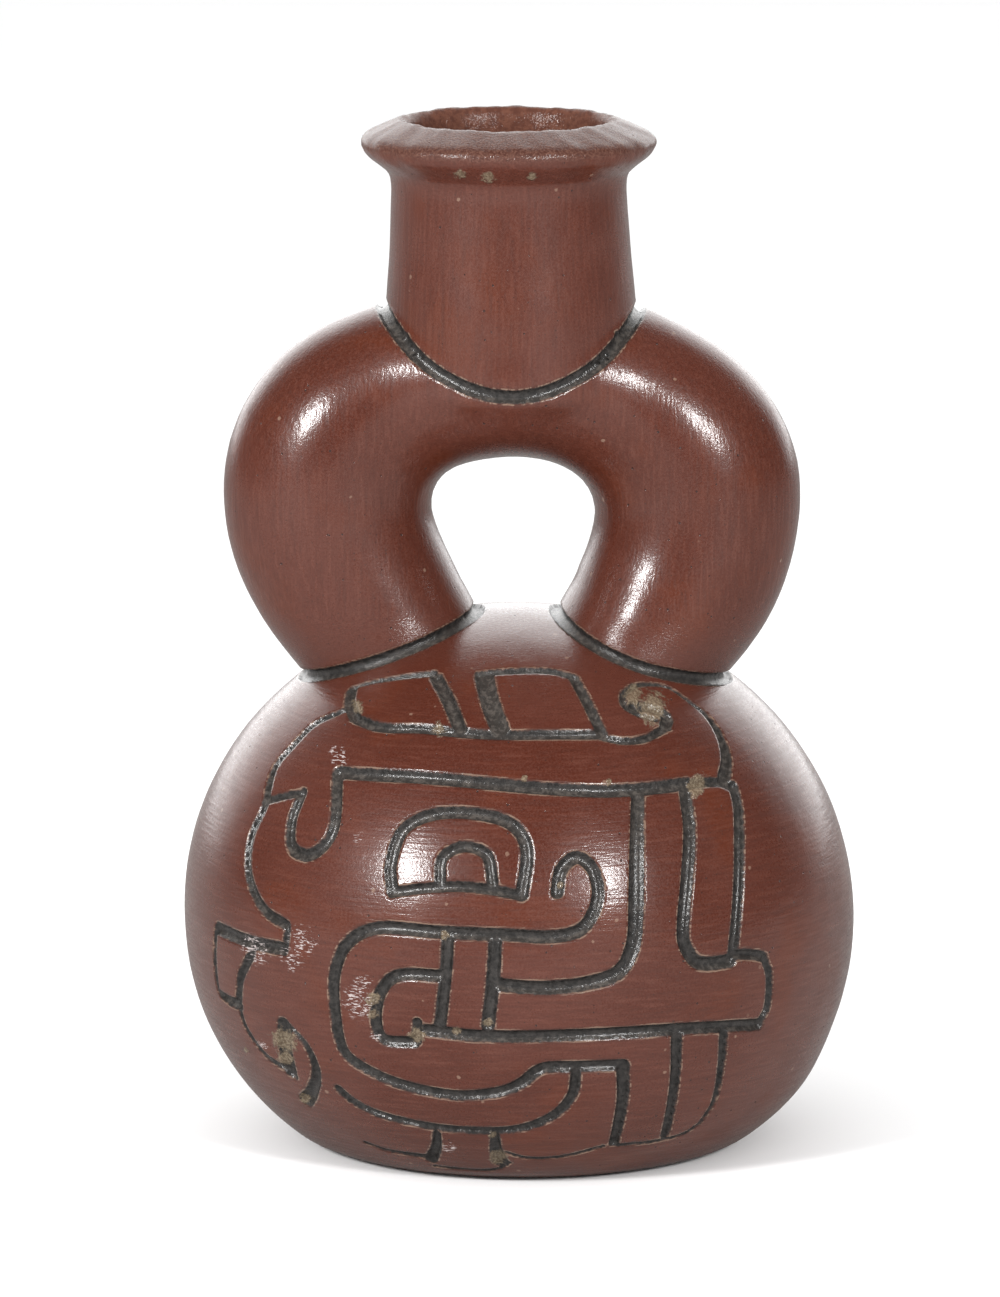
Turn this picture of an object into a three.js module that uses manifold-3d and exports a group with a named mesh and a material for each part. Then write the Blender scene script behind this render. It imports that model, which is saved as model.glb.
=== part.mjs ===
// Stirrup spout vessel: a hollow, hand-built bottle of burnished red clay. A round body carries an arched,
// tubular handle (the stirrup) with a flanged spout on its crown, and a feline head is cut into its front.
// Millimetres, +Z up, the front faces -Y, and the origin is the middle of the flat base.
import * as THREE from "three";
import { mergeVertices } from "three/addons/utils/BufferGeometryUtils.js";
import Module from "manifold-3d";

// ---- Driving dimensions ----

const BODY = { radius: 74, waist: 50.1, rise: 67.9, riseBulge: 2.03, drop: 63.7, dropBulge: 2.1 };
// The arch, from the left arm's root inside the body, over the crown, to the right arm's root. Each station is the
// middle of the tube as x and height, then half its width in the plane of the arch and from front to back.
const CROWN = 170.6;
const ARCH = [
  [-14, 92, 15, 19],
  [-23.6, 106.6, 18.9, 21.2],
  [-30.4, 116.5, 20.6, 21.4],
  [-37, 128, 22, 21.6],
  [-40.4, 139, 22.6, 21.8],
  [-39.9, 150, 22.4, 21.6],
  [-34.6, 159.1, 21.3, 21.2],
  [-24.6, 165.7, 19.9, 20.8],
  [-12.6, 169.4, 19, 23.8],
  [0, CROWN, 18.6, 27.3],
  [12.6, 169.4, 19.1, 23.8],
  [24.6, 164.9, 20.1, 20.8],
  [34.6, 157.3, 21.5, 21.2],
  [40, 149, 22.3, 21.6],
  [40.5, 139, 22.3, 21.8],
  [37.5, 127.5, 21.7, 22.6],
  [31, 115.9, 20, 24.8],
  [24.2, 107, 18.2, 25.8],
  [14.5, 93, 15, 22],
];
const SPOUT = { footRadius: 27.4, bore: 21.2, offset: 0.35 };
const SPOUT_JOINT = { front: 168.9, side: 182.6 }; // heights of the groove under the spout
const RIM = { radius: 32.2, height: 220.9, lipRadius: 21.6, top: 226.5 };
const WALL = { body: 6.5, floor: 7, arch: 6 };
const LEAN = -0.016; // how far everything drifts sideways for each millimetre of height
const HEEL = { swell: 0.028, height: 9, spread: 11 }; // the fuller right side, low on the body
const GROOVE_DEPTH = 1.3;
const JOINT_GROOVE = 3.4; // width of the grooves round the feet and under the spout

// ---- Facets ----

const BODY_SIDES = 44;
const BODY_ROWS = 9; // above the waist, and again below it
const ARCH_SIDES = 20;
const ARCH_STEPS = 28;
const SPOUT_SIDES = 30;
const CAVITY_SIDES = 20;
const GROOVE_SIDES = 6;
const GROOVE_STEP = 17; // the longest straight step along a groove
const GROOVE_TURN = 0.7; // radians of bend that call for one more step
const TIDY = 0.15; // facets this close to flat are merged

// ---- The feline head: grooves on the front of the body ----
// Each has its width, or its widths at both ends, and the points that its middle runs through, as x and height
// on the front. The curve between the points is smooth, so a sharp corner is where two grooves meet.

const HEAD = [
  // the crest, with its two boxes and the scroll behind them
  [3.0, [-35.6, 104.4], [-36, 102.4], [-34.8, 100.3]],
  [[1.2, 2.4], [-35.4, 105], [-30, 106.8], [-24, 108.2], [-17.8, 109.2]],
  [3.2, [-17, 108.6], [-14.4, 105], [-12, 100.2]],
  [2.8, [-34, 100], [-29, 99.3], [-20, 99.8], [-12, 99.5], [-4, 99.3], [8, 99.3], [18, 98.9]],
  [4.4, [-6.6, 109], [-5.4, 105], [-3.4, 100.4]],
  [2.4, [-7.6, 109.6], [-3, 110.1], [4, 110.3], [9, 109.9], [12.6, 109]],
  [2.7, [12.8, 108.8], [15.4, 104.8], [18.6, 99]],
  [2.1, [18.8, 98.3], [23, 97.4], [27.6, 97.4], [31.8, 98.6]],
  [3.2, [32.4, 99.2], [32.6, 100.8], [29.6, 102.5], [25.6, 103.3]],
  [1.8, [30, 100.6], [26.4, 101.8], [23.6, 103.4], [23.4, 105.4], [25.6, 106.5]],
  [[1.6, 1.1], [25.6, 106.6], [29.4, 106.4], [33.4, 105.3], [37.4, 102.7]],
  // the outline behind the crest, and the ear bars under it
  [[1.4, 3.6], [37.4, 102.7], [41.4, 99.6], [44.4, 95.4], [45.5, 91.2], [44.8, 88]],
  [2.5, [36.4, 88.2], [40.6, 88], [44, 87.4], [46.8, 85.8]],
  [3.1, [46.8, 86.2], [47.8, 81], [47.6, 70], [46.9, 61], [45.9, 52.8]],
  [3.3, [36.2, 87.4], [37, 79], [36.2, 69], [35.3, 61], [35.5, 56.2], [38.6, 51.8], [45.4, 51.2]],
  [2.6, [45.6, 52.5], [49, 52], [52.4, 50.9]],
  [2.4, [52.8, 50.6], [53.9, 46], [53.4, 39.4], [51.8, 36.2]],
  // the brow
  [3.2, [-38.4, 90.2], [-30, 90.6], [-20, 90.9], [-8, 90.5], [6, 89.4], [20, 88.4], [37, 88.3]],
  // the outline of the forehead, the hooked wrinkle and the snout
  [[2, 2.6], [-37.4, 101], [-43.4, 97.9], [-48.4, 93.2], [-52.6, 88], [-54.5, 81.6]],
  [2.6, [-54.4, 81.4], [-57.8, 74], [-58.3, 66.6], [-55.2, 60.6], [-50, 58]],
  [2, [-54.2, 82], [-49.6, 84], [-46, 85.2]],
  [3, [-46.4, 85], [-48.6, 79.4], [-48.6, 74.4], [-45.2, 73.3], [-41.4, 76], [-39.2, 80.6], [-38.6, 90]],
  // the eye
  [3, [-26.9, 68], [-27.2, 73.6], [-24.2, 80.8], [-17, 84.2], [-8, 84.4], [-1, 82.4], [2, 77.4], [0.8, 68.4]],
  [2.5, [-26.9, 67.9], [-20, 69.2], [-12, 69.9], [-5, 69.3], [0.6, 68.3]],
  [2.7, [-16.7, 70.8], [-16, 75.6], [-11.4, 78], [-6.6, 76.4], [-5.4, 71]],
  // the upper lip, with its curl
  [3, [8.3, 68.8], [9.3, 73.4], [12.6, 75.8], [16, 73.2], [17, 67.4], [14, 61.6], [8, 59.7], [-4, 60.1],
    [-18, 60.3], [-30, 60.2], [-36.6, 56.4], [-39.6, 49.6], [-39.8, 41], [-38.2, 32.2], [-33.4, 28.2],
    [-25, 25], [-14, 23.5], [-5, 24.6], [0, 26.8], [4.6, 30.3], [12, 30.5], [21.6, 30.4]],
  [[3.2, 2.5], [21.9, 30.2], [21.8, 22.6], [20.8, 15.6], [19.8, 10.4]],
  // the cheek
  [[3.1, 3.7], [-4.6, 49.4], [4, 48.7], [14, 49.3], [21.4, 51.6], [24.5, 57.6], [25.2, 66]],
  [[3.8, 3.2], [25.2, 66], [25.5, 76], [26, 87]],
  // the teeth
  [2.9, [-15.2, 59], [-15.7, 52], [-17.1, 40.4]],
  [3.1, [-5, 59], [-5.6, 51], [-6.9, 40.2]],
  [2.9, [-16.8, 50.9], [-25.6, 50.5], [-29.8, 46.4], [-30.9, 40], [-29.2, 35.7], [-22.8, 35.6]],
  [2.4, [-22.3, 35.8], [-22, 40.2]],
  // the lower lip, with the bars under it
  [3, [-20, 38.6], [-8, 37.8], [14, 37.9], [32, 37.6], [44, 36.6], [51.6, 35.5]],
  [[2.9, 2.3], [33.5, 35.6], [33.2, 27], [32.3, 19], [30.9, 11.2]],
  [[2.6, 1.2], [43.7, 34.6], [43.3, 28], [41.8, 19], [38.8, 13.4]],
  // the chin, with its fang and its short bars
  [2.6, [11.8, 29], [10.8, 23.4], [6.4, 18.4], [-1.4, 15.2], [-12, 14.6], [-22, 15.3], [-31, 17],
    [-36, 19.2], [-39.4, 22]],
  [[2, 3.2], [-18.4, 13.2], [-18.6, 9.4], [-19.8, 5.6]],
  [[2.2, 3.8], [-5.8, 13.2], [-5.7, 9.6], [-4.8, 6]],
  // the muzzle's bar, its nostril and the jaw's edge
  [3.2, [-65.4, 53.2], [-58, 52.6], [-50.8, 52.8]],
  [1.8, [-66, 52.6], [-66.4, 46], [-65.8, 39.2], [-64.4, 37.4]],
  [[2.4, 3], [-65, 38], [-63, 37.4], [-61, 37.4]],
  [2.7, [-57.8, 50.2], [-60.4, 44.4], [-61.2, 38]],
  [[1.6, 1.8], [-60.9, 36.4], [-59.4, 31.8], [-55.6, 26.8], [-52, 24.8]],
  [[2, 3], [-53, 25.2], [-50.8, 24.2], [-49.4, 23.4]],
  [4.4, [-51, 35.2], [-51.1, 30.4], [-50.2, 25]],
  [[1.6, 3], [-49.4, 35], [-46.2, 31.4], [-44.4, 26.8], [-44.4, 22.8]],
  [[3, 4], [-44.6, 22.4], [-45.6, 19.4], [-46.8, 17.2]],
];

// ---- Outlines ----

// A quarter of a rounded curve: 1 at the middle, falling to 0 at the end.
const swell = (share, bulge) => (1 - Math.min(1, share) ** bulge) ** (1 / bulge);

// The radius of the body, or of the cavity that lies inset in it, at a height.
function bodyRadius(z, inset = 0) {
  const up = z > BODY.waist;
  const share = up ? (z - BODY.waist) / (BODY.rise - inset) : (BODY.waist - z) / (BODY.drop - inset);
  return (BODY.radius - inset) * swell(share, up ? BODY.riseBulge : BODY.dropBulge);
}

// A radius-and-height outline of the body from a floor to its top, closed on the axis.
function bodyOutline(floor, rows, inset = 0) {
  const top = BODY.waist + BODY.rise - inset;
  const points = [[0, floor]];
  for (let i = 0; i <= rows; i++) {
    const z = floor + (BODY.waist - floor) * Math.sin((i / rows) * (Math.PI / 2));
    points.push([bodyRadius(z, inset), z]);
  }
  for (let i = 1; i < rows; i++) {
    const z = BODY.waist + (top - BODY.waist) * Math.sin((i / rows) * (Math.PI / 2));
    points.push([bodyRadius(z, inset), z]);
  }
  return [...points, [0, top]];
}

// The spout's outside, from inside the crown up to the lip.
function spoutOutline() {
  return [
    [0, SPOUT_JOINT.front],
    [SPOUT.footRadius, SPOUT_JOINT.front],
    [SPOUT.footRadius, 185],
    [26.9, 191],
    [26.2, 202],
    [25.8, 210],
    [26.1, 214.6],
    [28.2, 216.3],
    [31, 218.7],
    [RIM.radius, RIM.height],
    [31.2, 222.4],
    [28.4, 224],
    [24.8, 225.5],
    [RIM.lipRadius + 1, RIM.top],
    [0, RIM.top],
  ];
}

// The middle of the arch's tube, and beside it half the width of its section in the plane of the arch and, as
// height, from front to back.
const archLine = new THREE.CatmullRomCurve3(ARCH.map(([x, z]) => new THREE.Vector3(x, 0, z)), false, "catmullrom");
const archWidths = new THREE.CatmullRomCurve3(ARCH.map(([, , a, b]) => new THREE.Vector3(a, 0, b)), false, "catmullrom");

// One section of the tube, or of its bore: the middle, and the directions and half widths of its two axes.
function archSection(t, wall = 0) {
  const along = archLine.getTangent(t);
  const widths = archWidths.getPoint(t);
  return {
    point: archLine.getPoint(t),
    across: new THREE.Vector3(-along.z, 0, along.x).multiplyScalar(widths.x - wall),
    out: new THREE.Vector3(0, widths.z - wall, 0),
  };
}

// ---- Solids ----

const wasm = await Module();
wasm.setup();

// A closed three.js geometry as a solid that can be joined and cut.
function solid(geometry) {
  const bare = geometry.clone();
  bare.deleteAttribute("normal");
  bare.deleteAttribute("uv");
  const merged = mergeVertices(bare, 1e-4);
  const mesh = { numProp: 3, vertProperties: merged.attributes.position.array, triVerts: merged.index.array };
  mesh.triVerts = new Uint32Array(mesh.triVerts);
  return new wasm.Manifold(new wasm.Mesh(mesh));
}

// A solid as a three.js geometry, with flat faces.
function geometryOf(made) {
  const { vertProperties, triVerts } = made.getMesh();
  const geometry = new THREE.BufferGeometry();
  geometry.setAttribute("position", new THREE.BufferAttribute(vertProperties, 3));
  geometry.setIndex(new THREE.BufferAttribute(triVerts, 1));
  const faceted = geometry.toNonIndexed();
  faceted.computeVertexNormals();
  return faceted;
}

// An outline of [radius, height] pairs, turned about the Z axis.
function turned(outline, sides) {
  const points = outline.map(([radius, height]) => new THREE.Vector2(radius, height));
  return solid(new THREE.LatheGeometry(points, sides).rotateX(Math.PI / 2));
}

// A point of a section, given by shares of its two half widths.
function onSection({ point, across, out }, a, b) {
  return point.clone().addScaledVector(across, a).addScaledVector(out, b);
}

// A closed tube: a cylinder bent so that its length follows place(t), which gives the section there. The way
// along, the section's across and its out are a right-handed set.
function bent(sides, steps, turn, place) {
  const geometry = new THREE.CylinderGeometry(1, 1, 1, sides, steps, false, turn);
  const position = geometry.attributes.position;
  const rings = Array.from({ length: steps + 1 }, (_, i) => place(i / steps));
  for (let i = 0; i < position.count; i++) {
    const ring = rings[Math.round((position.getY(i) + 0.5) * steps)];
    const p = onSection(ring, position.getX(i), position.getZ(i));
    position.setXYZ(i, p.x, p.y, p.z);
  }
  return solid(geometry);
}

// ---- Grooves ----

// The share by which the heel's swelling widens the right side at a height.
const heelSwell = (z) => HEEL.swell * Math.exp(-(((z - HEEL.height) / HEEL.spread) ** 2));

// The point on the front of the body that ends up at x and height z, and the way out of the clay there.
function onFront(x, z) {
  const r = bodyRadius(z);
  const plain = x > 0 ? x / (1 + heelSwell(z)) : x;
  return new THREE.Vector3(plain, -Math.sqrt(Math.max(0, r * r - plain * plain)), z);
}
function bodyNormal(p) {
  const slope = (bodyRadius(p.z + 0.5) - bodyRadius(p.z - 0.5)) / 1;
  const r = Math.hypot(p.x, p.y);
  return new THREE.Vector3(p.x / r, p.y / r, -slope).normalize();
}

// A cutter that follows points on a surface, with the way out of the clay at each, between two widths.
function groove(points, outward, startWidth, endWidth = startWidth) {
  const line = new THREE.CatmullRomCurve3(points, false, "centripetal");
  const length = line.getLength();
  const ways = Array.from({ length: 41 }, (_, i) => line.getTangentAt(i / 40));
  const bend = ways.slice(1).reduce((sum, way, i) => sum + way.angleTo(ways[i]), 0);
  const steps = Math.max(1, Math.round(length / GROOVE_STEP + bend / GROOVE_TURN));
  const lift = 0.3; // the section's middle stands this far out of the surface
  return bent(GROOVE_SIDES, steps, Math.PI / GROOVE_SIDES, (t) => {
    const width = startWidth + (endWidth - startWidth) * t;
    const depth = Math.min(GROOVE_DEPTH, 0.5 * width);
    const along = line.getTangentAt(t);
    const point = line.getPointAt(t);
    const out = outward(point);
    if (t === 0) point.addScaledVector(along, -0.35 * width);
    if (t === 1) point.addScaledVector(along, 0.35 * width);
    return {
      point: point.addScaledVector(out, lift),
      across: along.clone().cross(out).setLength(0.56 * width),
      out: out.multiplyScalar(depth + lift),
    };
  });
}

// One of the head's grooves: its widths, then the points of a smooth line on the front.
function headGroove([width, ...corners]) {
  const flat = new THREE.CatmullRomCurve3(
    corners.map(([x, z]) => new THREE.Vector3(x, 0, z)),
    false,
    "centripetal",
  );
  const count = Math.max(2, Math.round(flat.getLength() / 2));
  const points = flat.getSpacedPoints(count).map((p) => onFront(p.x, p.z));
  return groove(points, bodyNormal, ...[width].flat());
}

// Two grooves, front and back, along a ring that a function gives for the angles of a full turn.
function ringGroove(pointAt, outward) {
  const overlap = 0.1;
  return [0, Math.PI].map((from) => {
    const angles = Array.from({ length: 17 }, (_, i) => from + (i / 16) * (Math.PI + overlap) - overlap / 2);
    return groove(angles.map(pointAt), outward, JOINT_GROOVE);
  });
}

// Between an outer and an inner value, the place where inside(value) turns true.
function meeting(outer, inner, inside) {
  for (let i = 0; i < 30; i++) {
    const middle = (outer + inner) / 2;
    if (inside(middle)) inner = middle;
    else outer = middle;
  }
  return (outer + inner) / 2;
}

// Where an arm's tube meets the body, at an angle round the tube. side is -1 for the left arm and 1 for the right.
function footPoint(side, angle) {
  const place = (t) => onSection(archSection(t), Math.cos(angle), Math.sin(angle));
  const inBody = (p) => Math.hypot(p.x, p.y) < bodyRadius(p.z);
  return place(meeting(0.5 + side * 0.25, side < 0 ? 0.02 : 0.98, (t) => inBody(place(t))));
}

// A point of the groove under the spout, at an angle round it.
function spoutPoint(angle) {
  const rise = (SPOUT_JOINT.side - SPOUT_JOINT.front) * Math.cos(angle) ** 2;
  return new THREE.Vector3(
    SPOUT.footRadius * Math.cos(angle) + SPOUT.offset,
    SPOUT.footRadius * Math.sin(angle),
    SPOUT_JOINT.front + rise,
  );
}

function jointGrooves() {
  const crownOut = (p) => new THREE.Vector3(p.x, p.y, 22 * (p.x / SPOUT.footRadius) ** 2).normalize();
  return [
    ...ringGroove((angle) => footPoint(-1, angle), bodyNormal),
    ...ringGroove((angle) => footPoint(1, angle), bodyNormal),
    ...ringGroove(spoutPoint, crownOut),
  ];
}

// ---- The vessel ----

function vessel() {
  const clay = turned(bodyOutline(0, BODY_ROWS), BODY_SIDES)
    .add(bent(ARCH_SIDES, ARCH_STEPS, 0, archSection))
    .add(turned(spoutOutline(), SPOUT_SIDES).translate(SPOUT.offset, 0, 0));
  const shaft = [[0, CROWN], [SPOUT.bore, CROWN], [SPOUT.bore, 221.5]];
  const mouth = [[RIM.lipRadius, RIM.top + 1], [0, RIM.top + 1]];
  const hollow = turned(bodyOutline(WALL.floor, 6, WALL.body), CAVITY_SIDES)
    .add(bent(10, 20, 0, (t) => archSection(t, WALL.arch)))
    .add(turned([...shaft, ...mouth], CAVITY_SIDES).translate(SPOUT.offset, 0, 0));
  const cuts = wasm.Manifold.union([...HEAD.map(headGroove), ...jointGrooves()]);
  return clay.subtract(hollow).subtract(cuts).simplify(TIDY);
}

// The small irregularities of a pot built by hand: it leans, and swells at the heel on the right.
function handBuilt(geometry) {
  const position = geometry.attributes.position;
  for (let i = 0; i < position.count; i++) {
    const [x, z] = [position.getX(i), position.getZ(i)];
    const swollen = x > 0 ? x * (1 + heelSwell(z)) : x;
    position.setX(i, swollen + LEAN * (z - BODY.waist));
  }
  geometry.computeVertexNormals();
  return geometry;
}

const redClay = new THREE.MeshStandardMaterial({ color: 0x74372b, roughness: 0.38, metalness: 0 });
const mesh = new THREE.Mesh(handBuilt(geometryOf(vessel())), redClay);
mesh.name = "vessel";

const bottle = new THREE.Group();
bottle.add(mesh);

export default bottle;
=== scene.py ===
import math

import bpy
import numpy as np
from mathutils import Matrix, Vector


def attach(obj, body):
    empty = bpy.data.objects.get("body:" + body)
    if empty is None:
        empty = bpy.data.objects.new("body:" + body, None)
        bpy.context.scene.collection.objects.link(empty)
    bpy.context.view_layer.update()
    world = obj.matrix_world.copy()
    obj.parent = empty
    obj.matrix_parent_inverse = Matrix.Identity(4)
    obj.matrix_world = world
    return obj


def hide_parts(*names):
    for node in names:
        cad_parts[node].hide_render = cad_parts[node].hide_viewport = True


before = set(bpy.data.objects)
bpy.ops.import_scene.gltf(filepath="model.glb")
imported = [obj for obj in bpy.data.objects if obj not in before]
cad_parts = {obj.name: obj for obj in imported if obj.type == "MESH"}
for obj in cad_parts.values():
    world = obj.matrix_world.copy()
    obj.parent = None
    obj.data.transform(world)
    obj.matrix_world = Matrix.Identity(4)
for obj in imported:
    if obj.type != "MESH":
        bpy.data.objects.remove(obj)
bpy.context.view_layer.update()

# ---- Dimensions, in millimetres ----

BODY_RADIUS, WAIST = 74.0, 50.1
RISE, RISE_BULGE = 67.9, 2.03
DROP, DROP_BULGE = 63.7, 2.1
CROWN = 170.6
# Stations along the arch: the tube's middle as x and height, then half its width in the arch's plane and its depth.
ARCH = [
    (-14, 92, 15, 19), (-23.6, 106.6, 18.9, 21.2), (-30.4, 116.5, 20.6, 21.4), (-37, 128, 22, 21.6),
    (-40.4, 139, 22.6, 21.8), (-39.9, 150, 22.4, 21.6), (-34.6, 159.1, 21.3, 21.2), (-24.6, 165.7, 19.9, 20.8),
    (-12.6, 169.4, 19, 23.8), (0, CROWN, 18.6, 27.3), (12.6, 169.4, 19.1, 23.8), (24.6, 164.9, 20.1, 20.8),
    (34.6, 157.3, 21.5, 21.2), (40, 149, 22.3, 21.6), (40.5, 139, 22.3, 21.8), (37.5, 127.5, 21.7, 22.6),
    (31, 115.9, 20, 24.8), (24.2, 107, 18.2, 25.8), (14.5, 93, 15, 22),
]
SPOUT_RADIUS, SPOUT_BORE, SPOUT_OFFSET = 27.4, 21.2, 0.35
JOINT_FRONT, JOINT_SIDE = 168.9, 182.6  # heights of the groove under the spout
SPOUT = [
    (0, 160), (18, 160), (26.6, 166), (27.4, 170), (27.4, 178), (27.3, 185), (26.9, 191), (26.4, 197), (26.1, 203),
    (25.8, 208), (25.7, 211.5), (26.2, 214.4), (28.2, 216.3), (31, 218.6), (32.2, 220.9), (31.3, 222.6),
    (28.4, 224.1), (24.8, 225.6), (22.8, 226.5), (0, 226.5),
]
WALL, FLOOR, ARCH_WALL = 6.5, 7.0, 6.0
LEAN = -0.016
HEEL_SWELL, HEEL_HEIGHT, HEEL_SPREAD = 0.028, 9.0, 11.0
GROOVE_DEPTH, JOINT_GROOVE = 1.25, 3.2
BANK = 0.55  # width of a groove's side
CELL = 2.5  # spacing of the first, even mesh
FINE = 0.76  # longest edge in and beside a groove
SKIN = 0.3  # a point this near the outside's surface is on the outer skin
HAIRLINE = 0.95  # a groove of less than this half width has no foot of its bank
BEND_X, BEND_Z, BEND_SIZE = 20, 148.5, 8.0  # the tightest bends inside the arch
PIT_CELL, DOT_CELL = 2.6, 1.15  # spacing of the pits and of the small dark dots

# ---- The feline head: each groove's width, or widths at its ends, then points of its middle as x and height ----

HEAD = [
    # the crest, with its two boxes and the scroll behind them
    (3.0, (-35.6, 104.4), (-36, 102.4), (-34.8, 100.3)),
    ((1.2, 2.4), (-35.4, 105), (-30, 106.8), (-24, 108.2), (-17.8, 109.2)),
    (3.2, (-17, 108.6), (-14.4, 105), (-12, 100.2)),
    (2.8, (-34, 100), (-29, 99.3), (-20, 99.8), (-12, 99.5), (-4, 99.3), (8, 99.3), (18, 98.9)),
    (4.4, (-6.6, 109), (-5.4, 105), (-3.4, 100.4)),
    (2.4, (-7.6, 109.6), (-3, 110.1), (4, 110.3), (9, 109.9), (12.6, 109)),
    (2.7, (12.8, 108.8), (15.4, 104.8), (18.6, 99)),
    (2.1, (18.8, 98.3), (23, 97.4), (27.6, 97.4), (31.8, 98.6)),
    (3.2, (32.4, 99.2), (32.6, 100.8), (29.6, 102.5), (25.6, 103.3)),
    (1.8, (30, 100.6), (26.4, 101.8), (23.6, 103.4), (23.4, 105.4), (25.6, 106.5)),
    ((1.6, 1.1), (25.6, 106.6), (29.4, 106.4), (33.4, 105.3), (37.4, 102.7)),
    # the outline behind the crest, and the ear bars under it
    ((1.4, 3.6), (37.4, 102.7), (41.4, 99.6), (44.4, 95.4), (45.5, 91.2), (44.8, 88)),
    (2.5, (36.4, 88.2), (40.6, 88), (44, 87.4), (46.8, 85.8)),
    (3.1, (46.8, 86.2), (47.8, 81), (47.6, 70), (46.9, 61), (45.9, 52.8)),
    (3.3, (36.2, 87.4), (37, 79), (36.2, 69), (35.3, 61), (35.5, 56.2), (38.6, 51.8), (45.4, 51.2)),
    (2.6, (45.6, 52.5), (49, 52), (52.4, 50.9)),
    (2.4, (52.8, 50.6), (53.9, 46), (53.4, 39.4), (51.8, 36.2)),
    # the brow
    (3.2, (-38.4, 90.2), (-30, 90.6), (-20, 90.9), (-8, 90.5), (6, 89.4), (20, 88.4), (37, 88.3)),
    # the outline of the forehead, the hooked wrinkle and the snout
    ((2, 2.6), (-37.4, 101), (-43.4, 97.9), (-48.4, 93.2), (-52.6, 88), (-54.5, 81.6)),
    (2.6, (-54.4, 81.4), (-57.8, 74), (-58.3, 66.6), (-55.2, 60.6), (-50, 58)),
    (2, (-54.2, 82), (-49.6, 84), (-46, 85.2)),
    (3, (-46.4, 85), (-48.6, 79.4), (-48.6, 74.4), (-45.2, 73.3), (-41.4, 76), (-39.2, 80.6), (-38.6, 90)),
    # the eye
    (3, (-26.9, 68), (-27.2, 73.6), (-24.2, 80.8), (-17, 84.2), (-8, 84.4), (-1, 82.4), (2, 77.4), (0.8, 68.4)),
    (2.5, (-26.9, 67.9), (-20, 69.2), (-12, 69.9), (-5, 69.3), (0.6, 68.3)),
    (2.7, (-16.7, 70.8), (-16, 75.6), (-11.4, 78), (-6.6, 76.4), (-5.4, 71)),
    # the upper lip, with its curl
    (3, (8.3, 68.8), (9.3, 73.4), (12.6, 75.8), (16, 73.2), (17, 67.4), (14, 61.6), (8, 59.7), (-4, 60.1),
     (-18, 60.3), (-30, 60.2), (-36.6, 56.4), (-39.6, 49.6), (-39.8, 41), (-38.2, 32.2), (-33.4, 28.2),
     (-25, 25), (-14, 23.5), (-5, 24.6), (0, 26.8), (4.6, 30.3), (12, 30.5), (21.6, 30.4)),
    ((3.2, 2.5), (21.9, 30.2), (21.8, 22.6), (20.8, 15.6), (19.8, 10.4)),
    # the cheek
    ((3.1, 3.7), (-4.6, 49.4), (4, 48.7), (14, 49.3), (21.4, 51.6), (24.5, 57.6), (25.2, 66)),
    ((3.8, 3.2), (25.2, 66), (25.5, 76), (26, 87)),
    # the teeth
    (2.9, (-15.2, 59), (-15.7, 52), (-17.1, 40.4)),
    (3.1, (-5, 59), (-5.6, 51), (-6.9, 40.2)),
    (2.9, (-16.8, 50.9), (-25.6, 50.5), (-29.8, 46.4), (-30.9, 40), (-29.2, 35.7), (-22.8, 35.6)),
    (2.4, (-22.3, 35.8), (-22, 40.2)),
    # the lower lip, with the bars under it
    (3, (-20, 38.6), (-8, 37.8), (14, 37.9), (32, 37.6), (44, 36.6), (51.6, 35.5)),
    ((2.9, 2.3), (33.5, 35.6), (33.2, 27), (32.3, 19), (30.9, 11.2)),
    ((2.6, 1.2), (43.7, 34.6), (43.3, 28), (41.8, 19), (38.8, 13.4)),
    (1.2, (38.4, 13), (34.6, 10.8), (28, 9.8), (20.4, 9.8)),
    # the chin, with its fang and its short bars
    (2.6, (11.8, 29), (10.8, 23.4), (6.4, 18.4), (-1.4, 15.2), (-12, 14.6), (-22, 15.3), (-31, 17),
     (-36, 19.2), (-39.4, 22)),
    ((2, 3.2), (-18.4, 13.2), (-18.6, 9.4), (-19.8, 5.6)),
    ((2.2, 3.8), (-5.8, 13.2), (-5.7, 9.6), (-4.8, 6)),
    ((1.2, 2), (-34, 8.2), (-29, 6.8), (-21, 6.4)),
    (1.2, (-19, 3.6), (-12, 3.2), (-6, 3.6), (-2.8, 5.8)),
    (1.2, (-3.6, 8.8), (1.4, 7.2), (9, 7.6), (17.4, 9.8)),
    # the muzzle's bar, its nostril and the jaw's edge
    (3.2, (-65.4, 53.2), (-58, 52.6), (-50.8, 52.8)),
    (2, (-49.8, 57.6), (-50.2, 54)),
    (1.8, (-66, 52.6), (-66.4, 46), (-65.8, 39.2), (-64.4, 37.4)),
    ((2.4, 3), (-65, 38), (-63, 37.4), (-61, 37.4)),
    (2.7, (-57.8, 50.2), (-60.4, 44.4), (-61.2, 38)),
    ((1.6, 1.8), (-60.9, 36.4), (-59.4, 31.8), (-55.6, 26.8), (-52, 24.8)),
    ((2, 3), (-53, 25.2), (-50.8, 24.2), (-49.4, 23.4)),
    (4.4, (-51, 35.2), (-51.1, 30.4), (-50.2, 25)),
    ((1.6, 3), (-49.4, 35), (-46.2, 31.4), (-44.4, 26.8), (-44.4, 22.8)),
    ((3, 4), (-44.6, 22.4), (-45.6, 19.4), (-46.8, 17.2)),
]

# ---- Curves ----


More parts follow.
